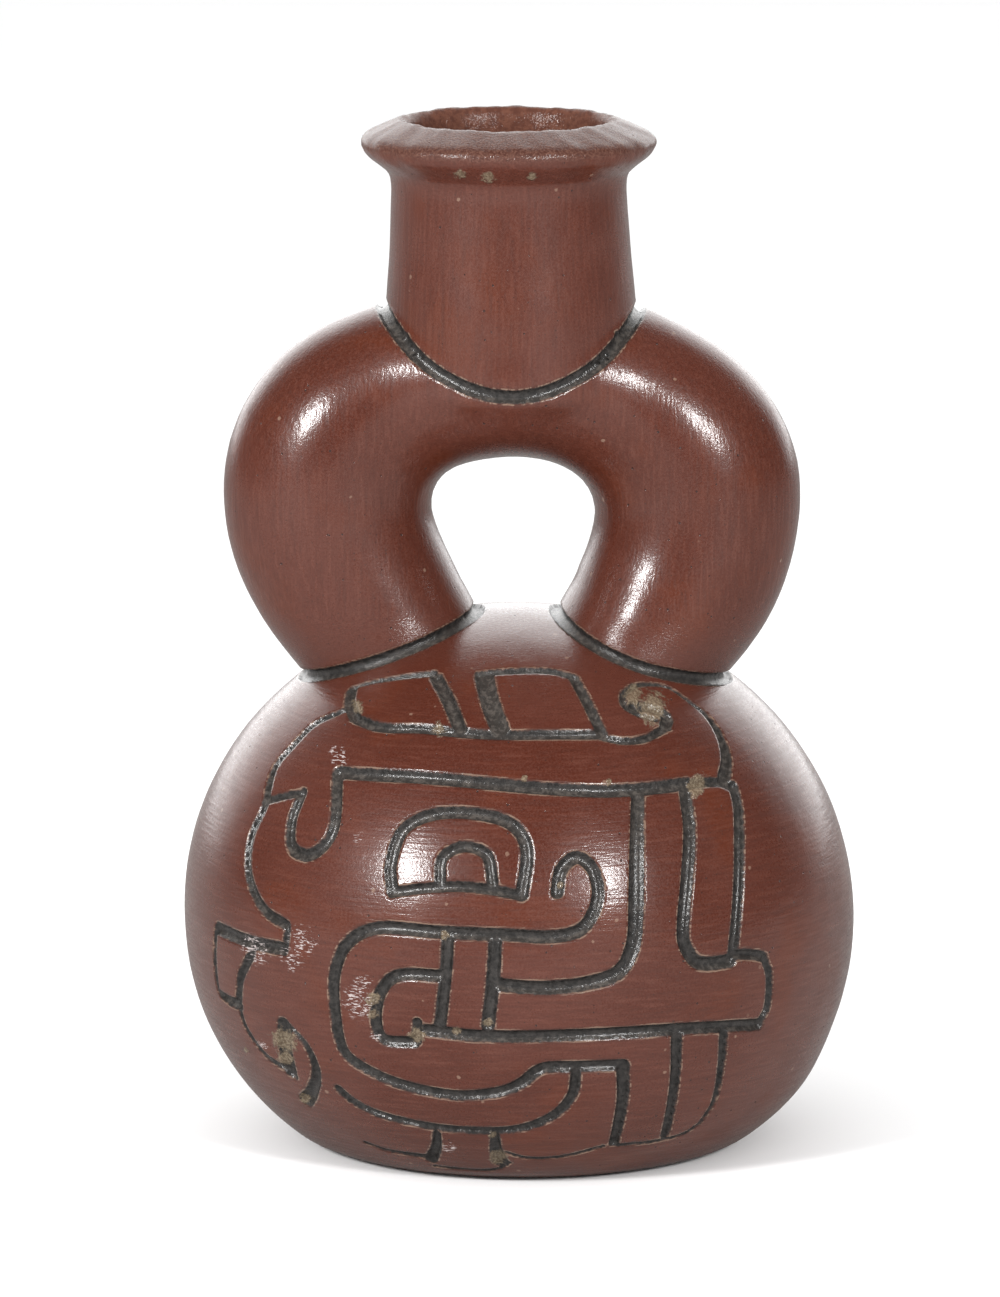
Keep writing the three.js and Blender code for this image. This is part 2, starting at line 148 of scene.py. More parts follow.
def spline(stations, count):
    """A uniform Catmull-Rom curve through the rows of stations: count samples of it, and their rates of change."""
    p = np.asarray(stations, float)
    p = np.vstack([2 * p[0] - p[1], p, 2 * p[-1] - p[-2]])
    u = np.linspace(0, len(p) - 3, count)
    i = np.minimum(u.astype(int), len(p) - 4)
    t = (u - i)[:, None]
    a, b, c, d = p[i], p[i + 1], p[i + 2], p[i + 3]
    at = b + 0.5 * t * (c - a + t * (2 * a - 5 * b + 4 * c - d + t * (3 * (b - c) + d - a)))
    rate = 0.5 * (c - a + 2 * t * (2 * a - 5 * b + 4 * c - d) + 3 * t * t * (3 * (b - c) + d - a))
    return at, rate * (len(p) - 3) / (count - 1)


def smooth_line(corners, step=0.4):
    """Points a step apart along a smooth curve through the corners."""
    p = np.asarray(corners, float)
    fine = p if len(p) == 2 else spline(p, 60 * (len(p) - 1))[0]
    run = np.concatenate([[0], np.cumsum(np.linalg.norm(np.diff(fine, axis=0), axis=1))])
    at = np.linspace(0, run[-1], max(2, int(run[-1] / step) + 1))
    return np.stack([np.interp(at, run, fine[:, k]) for k in range(p.shape[1])], 1)


# ---- The solid as a field: negative inside the clay, and about the distance to its surface in mm ----


def swell(share, bulge):
    return (1 - np.clip(share, 0, 1) ** bulge) ** (1 / bulge)


def body_radius(z):
    up = BODY_RADIUS * swell((z - WAIST) / RISE, RISE_BULGE)
    down = BODY_RADIUS * swell((WAIST - z) / DROP, DROP_BULGE)
    return np.where(z > WAIST, up, down)


def smooth_min(a, b, k):
    return np.minimum(a, b) - np.maximum(k - np.abs(a - b), 0) ** 2 / (4 * k)


def smooth_max(a, b, k):
    return -smooth_min(-a, -b, k)


def egg(p, inset, floor, edge):
    """The body of revolution, or its cavity, cut flat at the floor."""
    rho = np.hypot(p[:, 0], p[:, 1]) / (BODY_RADIUS - inset)
    z = p[:, 2] - WAIST
    up = (rho**RISE_BULGE + (np.maximum(z, 0) / (RISE - inset)) ** RISE_BULGE) ** (1 / RISE_BULGE)
    down = (rho**DROP_BULGE + (np.maximum(-z, 0) / (DROP - inset)) ** DROP_BULGE) ** (1 / DROP_BULGE)
    return smooth_max((np.where(z > 0, up, down) - 1) * 68, floor - p[:, 2], edge)


ARCH_LINE, ARCH_RATE = spline(ARCH, 181)


def tube(p, wall):
    """The arch's tube, or its bore."""
    out = np.full(len(p), 60.0)
    near = np.flatnonzero((p[:, 2] > 84) & (np.abs(p[:, 1]) < 40))
    for part in np.array_split(near, len(near) // 20000 + 1):
        q = p[part][:, [0, 2]]
        i = ((q[:, None] - ARCH_LINE[None, :, :2]) ** 2).sum(2).argmin(1)
        rate = ARCH_RATE[i]
        step = ((q - ARCH_LINE[i, :2]) * rate[:, :2]).sum(1) / (rate[:, :2] ** 2).sum(1)
        at = ARCH_LINE[i] + rate * np.clip(step, -0.6, 0.6)[:, None]
        a, b = at[:, 2] - wall, at[:, 3] - wall
        flat = np.linalg.norm(q - at[:, :2], axis=1)
        out[part] = (np.hypot(flat / a, p[part, 1] / b) - 1) * np.minimum(a, b)
    return out


SPOUT_LINE = np.vstack([SPOUT[0], smooth_line(SPOUT[1:-1], 0.7), SPOUT[-1]])


def spout(p):
    """The spout's outside, as the distance to its outline."""
    out = np.full(len(p), 60.0)
    near = np.flatnonzero(p[:, 2] > 152)
    for part in np.array_split(near, len(near) // 20000 + 1):
        q = np.stack([np.hypot(p[part, 0] - SPOUT_OFFSET, p[part, 1]), p[part, 2]], 1)
        a, b = SPOUT_LINE[:-1], SPOUT_LINE[1:]
        d = b - a
        t = np.clip(((q[:, None] - a) * d).sum(2) / (d * d).sum(1), 0, 1)
        gap = np.linalg.norm(q[:, None] - a - t[:, :, None] * d, axis=2).min(1)
        rises = (a[:, 1] > q[:, 1, None]) != (b[:, 1] > q[:, 1, None])
        with np.errstate(divide="ignore", invalid="ignore"):
            cross = q[:, 0, None] < a[:, 0] + (q[:, 1, None] - a[:, 1]) * d[:, 0] / d[:, 1]
        inside = (rises & cross).sum(1) % 2 == 1
        out[part] = np.where(inside, -gap, gap)
    return out


def outside(p):
    solid = smooth_min(egg(p, 0, 0, 3.0), tube(p, 0), 1.6)
    return smooth_min(solid, spout(p), 1.6)


def hollow(p):
    rho = np.hypot(p[:, 0] - SPOUT_OFFSET, p[:, 1])
    flare = 0.9 * np.maximum(0, (p[:, 2] - 221) / 5.5) ** 2
    bore = np.maximum(rho - SPOUT_BORE - flare, CROWN - p[:, 2])
    return smooth_min(smooth_min(egg(p, WALL, FLOOR, 6.0), tube(p, ARCH_WALL), 3.0), bore, 3.0)


def clay(p):
    return smooth_max(outside(p), -hollow(p), 2.4)


def gradient(field, p, step=0.05):
    at = field(p)
    return at, np.stack([(field(p + step * axis) - at) / step for axis in np.eye(3)], 1)


def onto(field, p, turns=3):
    """Points moved onto the surface of a field."""
    for _ in range(turns):
        at, slope = gradient(field, p)
        move = slope * (at / np.maximum((slope**2).sum(1), 0.05))[:, None]
        p = p - move * np.minimum(1, 1.5 / np.maximum(np.linalg.norm(move, axis=1), 1e-9))[:, None]
    return p


# ---- Grooves ----


def heel_swell(z):
    return HEEL_SWELL * np.exp(-(((z - HEEL_HEIGHT) / HEEL_SPREAD) ** 2))


def on_front(flat):
    x, z = flat[:, 0], flat[:, 1]
    x = np.where(x > 0, x / (1 + heel_swell(z)), x)
    return np.stack([x, -np.sqrt(np.maximum(body_radius(z) ** 2 - x * x, 0)), z], 1)


def foot_ring(end):
    """Where an arm's tube meets the body."""
    ring = []
    line, rate = (ARCH_LINE[:70], ARCH_RATE[:70]) if end < 0 else (ARCH_LINE[:-71:-1], ARCH_RATE[:-71:-1])
    along = rate[:, :2] / np.linalg.norm(rate[:, :2], axis=1)[:, None]
    for angle in np.linspace(0, 2 * math.pi, 241):
        a, b = math.cos(angle) * line[:, 2], math.sin(angle) * line[:, 3]
        p = np.stack([line[:, 0] - along[:, 1] * a, b, line[:, 1] + along[:, 0] * a], 1)
        out = np.hypot(p[:, 0], p[:, 1]) - body_radius(p[:, 2])
        i = np.flatnonzero(out > 0)[0]
        share = out[i] / (out[i] - out[i - 1])
        ring.append(p[i] + share * (p[i - 1] - p[i]))
    return np.array(ring)


def spout_ring():
    angle = np.linspace(0, 2 * math.pi, 361)
    x, y = SPOUT_RADIUS * np.cos(angle), SPOUT_RADIUS * np.sin(angle)
    return np.stack([x + SPOUT_OFFSET, y, JOINT_FRONT + (JOINT_SIDE - JOINT_FRONT) * np.cos(angle) ** 2], 1)


def all_grooves():
    """Every groove as its points, half widths and depth."""
    grooves = []
    for width, *corners in HEAD:
        flat = smooth_line(corners)
        first, last = width if isinstance(width, tuple) else (width, width)
        half = np.linspace(first, last, len(flat)) / 2
        grooves.append((on_front(flat), half, min(GROOVE_DEPTH, 0.48 * max(first, last))))
    for ring in (foot_ring(-1), foot_ring(1), spout_ring()):
        ring = onto(outside, ring, 4)
        grooves.append((ring, np.full(len(ring), JOINT_GROOVE / 2), GROOVE_DEPTH))
    return grooves


GROOVES = all_grooves()


def to_groove(p, reach=9.0):
    """For each point: how far it is outside the nearest groove's edge (negative inside), how far from its middle,
    the way from there, and the groove's depth."""
    edge, middle = np.full(len(p), reach), np.full(len(p), reach)
    way, deep = np.zeros((len(p), 3)), np.zeros(len(p))
    for line, half, depth in GROOVES:
        low, high = line.min(0) - reach, line.max(0) + reach
        near = np.flatnonzero(((p > low) & (p < high)).all(1))
        for part in np.array_split(near, len(near) // 20000 + 1):
            if not len(part):
                continue
            gap = np.sqrt(((p[part, None] - line[None]) ** 2).sum(2))
            i = (gap - half).argmin(1)
            d = gap[np.arange(len(part)), i]
            closer = d - half[i] < edge[part]
            k = part[closer]
            edge[k], middle[k] = (d - half[i])[closer], d[closer]
            way[k] = (p[k] - line[i[closer]]) / np.maximum(d[closer], 1e-6)[:, None]
            deep[k] = depth
    return edge, middle, way, deep


# ---- Mesh ----


def even_mesh():
    """An even mesh of quads round the clay, with one point in each cell that the surface crosses."""
    axes = [np.arange(-80, 81, CELL), np.arange(-80, 81, CELL), np.arange(-4.1, 232, CELL)]
    grid = np.stack(np.meshgrid(*axes, indexing="ij"), -1)
    value = clay(grid.reshape(-1, 3)).reshape(grid.shape[:3])
    size = np.array(value.shape) - 1
    corner = [(i, j, k) for i in (0, 1) for j in (0, 1) for k in (0, 1)]
    view = {c: value[c[0] : c[0] + size[0], c[1] : c[1] + size[1], c[2] : c[2] + size[2]] for c in corner}
    total, count = np.zeros((*size, 3)), np.zeros(size)
    for a in corner:
        for axis in range(3):
            if a[axis]:
                continue
            b = tuple(1 if k == axis else a[k] for k in range(3))
            va, vb = view[a], view[b]
            hit = (va < 0) != (vb < 0)
            share = np.where(hit, va / np.where(hit, va - vb, 1), 0)
            for k in range(3):
                total[..., k] += np.where(hit, a[k] + (share if k == axis else 0), 0)
            count += hit
    used = count > 0
    index = np.full(size, -1)
    index[used] = np.arange(used.sum())
    start = np.stack(np.nonzero(used), 1)
    points = np.array([a[0] for a in axes]) + CELL * (start + total[used] / count[used][:, None])
    faces = []
    for axis in range(3):
        u, v = (axis + 1) % 3, (axis + 2) % 3
        ahead = np.moveaxis(value, (axis, u, v), (0, 1, 2))
        cell = np.moveaxis(index, (axis, u, v), (0, 1, 2))
        first, second = ahead[:-1, 1:-1, 1:-1] < 0, ahead[1:, 1:-1, 1:-1] < 0
        quad = np.stack([cell[:, :-1, :-1], cell[:, 1:, :-1], cell[:, 1:, 1:], cell[:, :-1, 1:]], -1)
        faces.append(quad[first & ~second])
        faces.append(quad[~first & second][:, ::-1])
    quads = np.vstack(faces)
    across = np.linalg.norm(points[quads[:, 0]] - points[quads[:, 2]], axis=1)
    other = np.linalg.norm(points[quads[:, 1]] - points[quads[:, 3]], axis=1)
    swap = across > other
    quads[swap] = np.roll(quads[swap], 1, axis=1)
    return points, np.vstack([quads[:, [0, 1, 2]], quads[:, [0, 2, 3]]])


def edges_of(tris):
    """Every edge once, and for each triangle the numbers of its three edges."""
    pairs = np.sort(tris[:, [0, 1, 1, 2, 2, 0]].reshape(-1, 2), axis=1)
    code, number = np.unique(pairs[:, 0] * np.int64(1 << 32) + pairs[:, 1], return_inverse=True)
    return np.stack([code >> 32, code & 0xFFFFFFFF], 1), number.reshape(-1, 3)


def normals_of(points, tris):
    """The way out of the clay at each point, from the triangles round it."""
    a, b, c = (points[tris[:, k]] for k in range(3))
    face = np.cross(b - a, c - a)
    total = sum(
        np.stack([np.bincount(tris[:, corner], face[:, k], len(points)) for k in range(3)], 1) for corner in range(3)
    )
    return total / np.maximum(np.linalg.norm(total, axis=1), 1e-9)[:, None]


def neighbours(tris):
    """Each pair of points that an edge joins, both ways round."""
    edges, _ = edges_of(tris)
    return np.vstack([edges, edges[:, ::-1]])


def mean_round(points, both):
    """The middle of the points that edges join to each point."""
    degree = np.bincount(both[:, 0], minlength=len(points))[:, None]
    return np.stack([np.bincount(both[:, 0], points[both[:, 1], k], len(points)) for k in range(3)], 1) / degree


def settle(points, tris, turns=1, rate=0.6):
    """Points evened out along the surface."""
    both = neighbours(tris)
    for _ in range(turns):
        normal = normals_of(points, tris)
        move = mean_round(points, both) - points
        move -= normal * (move * normal).sum(1)[:, None]
        points = points + rate * move
    return onto(clay, points, 1)


def longest_edge(p, edge):
    """How long an edge may be at each point: short by the grooves and the rim."""
    limit = FINE + 0.6 * np.maximum(0, edge - 0.6)
    rim = (p[:, 2] > 210) & (np.hypot(p[:, 0], p[:, 1]) > 20)
    return np.where(rim, np.minimum(limit, 1.7), limit)


def split(points, tris, sides, cut, new):
    """Puts the new points on the edges marked in cut, and splits the triangles on them."""
    fresh = np.full(len(cut), -1)
    fresh[cut] = len(points) + np.arange(cut.sum())
    points = np.vstack([points, new])
    mid = fresh[sides]
    count = (mid >= 0).sum(1)
    done = [tris[count == 0]]
    # each triangle is turned so that its pattern of cut sides comes first
    for turn in range(3):
        m = np.roll(mid, -turn, axis=1)
        t = np.roll(tris, -turn, axis=1)
        pick = (count == 1) & (m[:, 0] >= 0)
        (a, b, c), (p, q, r) = t[pick].T, m[pick].T
        done += [np.stack([a, p, c], 1), np.stack([p, b, c], 1)]
        pick = (count == 2) & (m[:, 2] < 0)
        (a, b, c), (p, q, r) = t[pick].T, m[pick].T
        short = np.linalg.norm(points[a] - points[q], axis=1) < np.linalg.norm(points[p] - points[c], axis=1)
        done.append(np.stack([p, b, q], 1))
        done.append(np.where(short[:, None], np.stack([a, p, q], 1), np.stack([a, p, c], 1)))
        done.append(np.where(short[:, None], np.stack([a, q, c], 1), np.stack([p, q, c], 1)))
    pick = count == 3
    (a, b, c), (p, q, r) = tris[pick].T, mid[pick].T
    done += [np.stack([a, p, r], 1), np.stack([p, b, q], 1), np.stack([r, q, c], 1), np.stack([p, q, r], 1)]
    return points, np.vstack(done)


def refine(points, tris, edge):
    """Halves the edges that are too long, and the triangles on them. Returns also how many edges it cut."""
    edges, sides = edges_of(tris)
    length = np.linalg.norm(points[edges[:, 0]] - points[edges[:, 1]], axis=1)
    middle = points[edges].mean(1)
    cut = length > longest_edge(middle, edge[edges].min(1))
    longest = sides[np.arange(len(tris)), length[sides].argmax(1)]
    while True:
        more = cut[sides].any(1) & ~cut[longest]
        if not more.any():
            break
        cut[longest[more]] = True
    new = onto(clay, middle[cut], 1)
    points, tris = split(points, tris, sides, cut, new)
    return points, tris, np.concatenate([edge, to_groove(new)[0]]), int(cut.sum())


def over_line(p, level):
    """How far each point of the skin is over one of a groove's lines: its edge, or the foot of its bank."""
    edge, middle, way, _ = to_groove(p)
    over = edge - level
    if level:
        over += 2.5 * np.maximum(0, HAIRLINE - (middle - edge))
    return over, way


def flat_way(way, normal):
    """The way from a groove's middle, laid flat on the surface."""
    along = way - normal * (way * normal).sum(1)[:, None]
    return along / np.maximum(np.linalg.norm(along, axis=1), 0.3)[:, None]


def trace(points, tris, fixed, level):
    """Makes edges of the mesh run along one of the grooves' lines: points near it move onto it, and the edges that
    still cross it are cut there. Fixed holds, for each point, the line that it lies on."""
    over, way = over_line(points, level)
    over[np.abs(outside(points)) > SKIN] = 9
    normal = normals_of(points, tris)
    edges, sides = edges_of(tris)
    u, v = over[edges].T
    cross = u * v < 0
    share = np.where(cross, u / np.where(cross, u - v, 1), 0.5)
    close = np.concatenate([edges[cross & (share < 0.34), 0], edges[cross & (share > 0.66), 1]])
    close = np.unique(close[fixed[close] == 0])
    points = points.copy()
    points[close] -= flat_way(way, normal)[close] * np.clip(over[close], -0.4, 0.4)[:, None]
    over[close] = 0
    fixed = fixed.copy()
    number = 1 if level == 0 else 2
    fixed[close] = number
    u, v = over[edges].T
    cut = u * v < 0
    share = (u[cut] / (u[cut] - v[cut]))[:, None]
    a, b = points[edges[cut, 0]], points[edges[cut, 1]]
    new = a + share * (b - a)
    gap = over_line(new, level)[0]
    slope = np.where(np.abs(v[cut] - u[cut]) > 0.2, v[cut] - u[cut], 9)
    new -= (b - a) * np.clip(gap / slope, -0.15, 0.15)[:, None]
    points, tris = split(points, tris, sides, cut, new)
    return points, tris, np.concatenate([fixed, np.full(len(new), number)])


def flip(points, tris, fixed, turns=8):
    """Turns edges where that makes rounder triangles, and leaves those that run along a groove's line."""
    for _ in range(turns):
        edges, sides = edges_of(tris)
        order = np.argsort(sides.ravel(), kind="stable")
        first, second = order[::2], order[1::2]  # the two triangles' sides on each edge
        t1, s1, t2, s2 = first // 3, first % 3, second // 3, second % 3
        a, b, c = tris[t1, s1], tris[t1, (s1 + 1) % 3], tris[t1, (s1 + 2) % 3]
        d = tris[t2, (s2 + 2) % 3]

        def angle(at, p, q):
            e, f = points[p] - points[at], points[q] - points[at]
            return np.arctan2(np.linalg.norm(np.cross(e, f), axis=1), (e * f).sum(1))

        gain = angle(c, a, b) + angle(d, a, b) - math.pi
        kept = (fixed[a] > 0) & (fixed[a] == fixed[b])
        def area(p, q, r):
            return np.cross(points[q] - points[p], points[r] - points[p])

        one, two = area(a, d, c), area(d, b, c)
        whole = area(a, b, c) + area(b, a, d)
        good = ((one * whole).sum(1) > 0.02 * (whole * whole).sum(1)) & (
            (two * whole).sum(1) > 0.02 * (whole * whole).sum(1)
        )
        want = np.flatnonzero((gain > 0.02) & good & ~kept & (c != d))
        if not len(want):
            break
        want = want[np.argsort(-gain[want], kind="stable")]
        # one flip at most for each triangle in a turn: the greatest gain has it
        rank = np.arange(len(want))
        best = np.full(len(tris), len(want))
        np.minimum.at(best, t1[want], rank)
        np.minimum.at(best, t2[want], rank)
        won = want[(best[t1[want]] == rank) & (best[t2[want]] == rank)]
        code = np.sort(np.stack([c[won], d[won]], 1), axis=1)
        code = code[:, 0] * np.int64(1 << 32) + code[:, 1]
        there = edges[:, 0] * np.int64(1 << 32) + edges[:, 1]
        fresh = ~np.isin(code, there)
        _, once = np.unique(code, return_index=True)
        single = np.zeros(len(code), bool)
        single[once] = True
        won = won[fresh & single]
        tris = tris.copy()
        i, j = t1[won], t2[won]
        aw, bw, cw, dw = a[won], b[won], c[won], d[won]
        tris[i] = np.stack([aw, dw, cw], 1)
        tris[j] = np.stack([dw, bw, cw], 1)
    return tris


def vessel_mesh():
    points, tris = even_mesh()
    points = onto(clay, points, 3)
    points = settle(points, tris, 4)
    edge = to_groove(points)[0]
    cut = 1
    while cut:
        points, tris, edge, cut = refine(points, tris, edge)
        if cut > 4000:
            points = settle(points, tris)
            edge = to_groove(points)[0]
    fixed = np.zeros(len(points), int)
    tris = flip(points, tris, fixed)
    points = settle(points, tris, 3)
    for level in (0, -BANK):
        points, tris, fixed = trace(points, tris, fixed, level)
        tris = flip(points, tris, fixed)
    for _ in range(3):
        edge = to_groove(points)[0]
        free = (fixed == 0) & (edge < 3)
        points = np.where(free[:, None], settle(points, tris, 1, 0.5), points)
        tris = flip(points, tris, fixed, 3)
    points = onto(clay, points, 1)

    edge, middle, _, deep = to_groove(points)
    skin = np.abs(outside(points)) < SKIN
    edge = np.where(fixed == 1, 0, edge)
    normal = gradient(clay, points)[1]
    normal /= np.maximum(np.linalg.norm(normal, axis=1), 0.2)[:, None]
    across = np.clip(1 + edge / np.maximum(middle - edge, 0.3), 0, 1)
    depth = np.where(skin & (edge < 0), deep * (1 - across**2.6) ** 0.75, 0)
    standing = np.clip(points[:, 2] / 4, 0, 1)  # the foot stays flat
    points = points + normal * (uneven(points) * standing - depth)[:, None]
    edge = np.where(skin, np.clip(edge, -2, 4), 4)
    return points, tris, edge, (~skin).astype(float)


def hand_built(p):
    """The small irregularities of a pot built by hand: it leans, and swells at the heel on the right."""
    x, z = p[:, 0], p[:, 2]
    x = np.where(x > 0, x * (1 + heel_swell(z)), x) + LEAN * (z - WAIST)
    return np.stack([x, p[:, 1], z], 1)


def uneven(p):
    """The slight waves that the potter's hand left in the surface, and the rough edge of the flange, in mm."""
    x, y, z = p.T
    broad = np.sin(x / 5.3 + 0.8 * np.sin(z / 8.1)) * np.sin(z / 6.7 + 1.1 + 0.6 * np.sin(y / 9.3))
    small = np.sin(x / 2.1 + z / 3.7 + 2.0 * np.sin(y / 4.9)) * np.sin(z / 2.9 - y / 3.3 + 0.5)
    turn = np.arctan2(y, x)
    lip = np.sin(9 * turn + 0.7) + 0.8 * np.sin(17 * turn + 1.9) + 0.6 * np.sin(31 * turn + z)
    return 0.06 * broad + 0.025 * small + 0.09 * lip * np.clip((z - 215) / 4, 0, 1)


def soften(points, tris):
    """Rounds the creases inside the arch, where its tube bends hardest."""
    both = neighbours(tris)
    x, z = points[:, 0], points[:, 2]
    share = sum(np.exp(-(((x - bend) ** 2 + (z - BEND_Z) ** 2) / BEND_SIZE**2)) for bend in (-BEND_X, BEND_X))
    share = np.where((np.abs(outside(points)) < 0.5) & (share > 0.02), 0.7 * share, 0)[:, None]
    for _ in range(30):
        points = points + share * (mean_round(points, both) - points)
    return points


# Marks on the front: x, height, radius
TAN_MARKS = [
    (29.6, 102.4, 3.4), (25.5, 105, 2.2), (38.6, 87.6, 2.6), (-51.2, 31.5, 3.4), (-51, 27, 2.4), (-5.3, 7.2, 2.4),
    (-31.4, 44.6, 1.9), (-31.6, 41.2, 1.5), (-22.2, 37.2, 2.2), (1.6, 91.3, 0.9), (19.8, 90.1, 0.8), (-13.6, 38.7, 1.2),
    (-34.2, 102, 1.6), (-16.4, 99.8, 1.6), (-6.4, 13.4, 1.2), (-27.2, 141, 0.9), (-47, 17.5, 1.6), (-7, 40.6, 1.3),
    (-15.8, 59.4, 1.2), (-60, 26, 0.9), (9, 70, 0.9), (-10, 217.4, 1.5), (-4, 216.8, 1.8), (5.4, 217, 1.3),
]
PALE_MARKS = [
    (-46.6, 55.4, 3.0), (-49, 51, 2.4), (-34.6, 43.6, 3.4), (-33.4, 47.6, 2.0), (-38.4, 93, 2.0), (-34, 78.2, 1.1),
    (-32.4, 74.4, 1.0), (-57, 51.2, 3.0), (-31, 36.4, 1.2), (-16, 9.6, 1.4), (-56.4, 29, 1.4),
]


def marks(p, places):
    """A soft spot of 1 at each place on the front."""
    out = np.zeros(len(p))
    for x, z, radius in places:
        out = np.maximum(out, np.exp(-((p[:, 0] - x) ** 2 + (p[:, 2] - z) ** 2) / radius**2))
    return np.where(p[:, 1] < 0, out, 0)


points, tris, edge, inner = vessel_mesh()
layers = {"edge": edge, "inner": inner, "tan": marks(points, TAN_MARKS), "pale": marks(points, PALE_MARKS)}
points = hand_built(soften(points, tris))
mesh = bpy.data.meshes.new("vessel_skin")
mesh.from_pydata((points / 1000).tolist(), [], tris.tolist())
mesh.validate()
for name, values in layers.items():
    mesh.attributes.new(name, "FLOAT", "POINT").data.foreach_set("value", values.astype(np.float32))
mesh.shade_smooth()
vessel = bpy.data.objects.new("vessel_skin", mesh)
bpy.context.collection.objects.link(vessel)
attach(vessel, "root")
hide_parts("vessel")
print("vessel_skin", len(points), "points", len(tris), "triangles")

# ---- Clay ----

clay_look = bpy.data.materials.new("burnished_clay")
clay_look.use_nodes = True
nodes, links = clay_look.node_tree.nodes, clay_look.node_tree.links
shader = nodes["Principled BSDF"]


def feed(socket, value):
    if isinstance(value, (int, float, tuple)):
        socket.default_value = value
    else:
        links.new(value, socket)


def calc(kind, a, b=0.0):
    node = nodes.new("ShaderNodeMath")
    node.operation = kind
    feed(node.inputs[0], a)
    feed(node.inputs[1], b)
    return node.outputs[0]


def between(value, low, high, first=0.0, last=1.0):
    """Goes smoothly from first to last while the value goes from low to high."""
    node = nodes.new("ShaderNodeMapRange")
    node.interpolation_type = "SMOOTHSTEP"
    for socket, number in zip(node.inputs, (value, low, high, first, last)):
        feed(socket, number)
    return node.outputs["Result"]


def blend(share, a, b):
    node = nodes.new("ShaderNodeMix")
    node.data_type = "RGBA"
    feed(node.inputs["Factor"], share)
    feed(node.inputs["A"], a)
    feed(node.inputs["B"], b)
    return node.outputs["Result"]


def layer(name):
    """One of the mesh's own values at its points."""
    node = nodes.new("ShaderNodeAttribute")
    node.attribute_name = name
    return node.outputs["Fac"]


def stretched(x, y, z):
    """The place on the object in mm, divided by the size of a detail along each axis."""
    node = nodes.new("ShaderNodeMapping")
    links.new(place, node.inputs["Vector"])
    node.inputs["Scale"].default_value = (1000 / x, 1000 / y, 1000 / z)
    return node.outputs["Vector"]


def noise(size, detail, rough):
    """Noise with details of a size in mm, or a size for each axis, or at the places of a vector."""
    node = nodes.new("ShaderNodeTexNoise")
    if isinstance(size, (int, float)):
        size = (size, size, size)
    links.new(stretched(*size) if isinstance(size, tuple) else size, node.inputs["Vector"])
    node.inputs["Scale"].default_value = 1.0
    node.inputs["Detail"].default_value = detail
    node.inputs["Roughness"].default_value = rough
    return node.outputs["Fac"]


def cells(size):
    """Scattered points: the distance to the nearest, in units of size, and a random number for each."""
    node = nodes.new("ShaderNodeTexVoronoi")
    links.new(stretched(size, size, size), node.inputs["Vector"])
    node.inputs["Scale"].default_value = 1.0
    apart = nodes.new("ShaderNodeSeparateColor")
    links.new(node.outputs["Color"], apart.inputs["Color"])
    return node.outputs["Distance"], apart.outputs[0], apart.outputs[1]


place = nodes.new("ShaderNodeTexCoord").outputs["Object"]
spread = nodes.new("ShaderNodeSeparateXYZ")
links.new(place, spread.inputs[0])
across_m, height_m = spread.outputs["X"], spread.outputs["Z"]
facing = nodes.new("ShaderNodeSeparateXYZ")
links.new(nodes.new("ShaderNodeNewGeometry").outputs["Normal"], facing.inputs[0])

fine_grain = noise(0.45, 2.0, 0.65)
grit = noise(1.3, 3.0, 0.65)
cloud = noise(19.0, 2.0, 0.55)
patch = noise(34.0, 1.0, 0.5)
# burnishing strokes run round the body, and up the arms and spout
along = nodes.new("ShaderNodeMix")
along.data_type = "VECTOR"
links.new(between(height_m, 0.100, 0.120), along.inputs["Factor"])
links.new(stretched(9.0, 9.0, 0.7), along.inputs["A"])
links.new(stretched(0.8, 0.8, 11.0), along.inputs["B"])
strokes = noise(along.outputs["Result"], 2.0, 0.6)

# the slip: dark red-brown, with purplish-brown and orange-brown areas, paler strokes and dark flecks
colour = blend(between(patch, 0.36, 0.64), (0.053, 0.0110, 0.0052, 1), (0.064, 0.0172, 0.0106, 1))
colour = blend(between(cloud, 0.50, 0.72, 0.0, 0.75), colour, (0.072, 0.0132, 0.0034, 1))
colour = blend(between(strokes, 0.45, 0.75, 0.0, 0.40), colour, (0.096, 0.033, 0.022, 1))
colour = blend(between(strokes, 0.50, 0.28, 0.0, 0.45), colour, (0.046, 0.0120, 0.0070, 1))
colour = blend(between(grit, 0.60, 0.80, 0.0, 0.35), colour, (0.034, 0.0130, 0.0095, 1))
colour = blend(between(fine_grain, 0.35, 0.75, 0.0, 0.22), colour, (0.125, 0.045, 0.030, 1))

# pits: small and dark, more of them on the right
pit_at, pit_one, pit_two = cells(PIT_CELL)
crowd = calc("ADD", cloud, between(across_m, -0.03, 0.06, -0.10, 0.10))
pit_size = between(pit_two, 0.0, 1.0, 0.05, 0.13)
pit = between(calc("DIVIDE", pit_at, pit_size), 1.0, 0.45)
pit = calc("MULTIPLY", pit, between(calc("SUBTRACT", crowd, calc("MULTIPLY", pit_one, 0.55)), 0.08, 0.16))
dot_at, dot_one, _ = cells(DOT_CELL)
dot = calc("MULTIPLY", between(dot_at, 0.17, 0.08), between(dot_one, 0.60, 0.75))
colour = blend(calc("MULTIPLY", dot, 0.7), colour, (0.022, 0.010, 0.008, 1))
colour = blend(calc("MULTIPLY", pit, 0.85), colour, (0.018, 0.011, 0.010, 1))
chip = between(calc("ADD", pit_at, calc("MULTIPLY", grit, 0.3)), 0.37, 0.29)
chip = calc("MULTIPLY", chip, between(pit_one, 0.965, 0.975))
colour = blend(calc("MULTIPLY", chip, 0.6), colour, (0.190, 0.120, 0.085, 1))
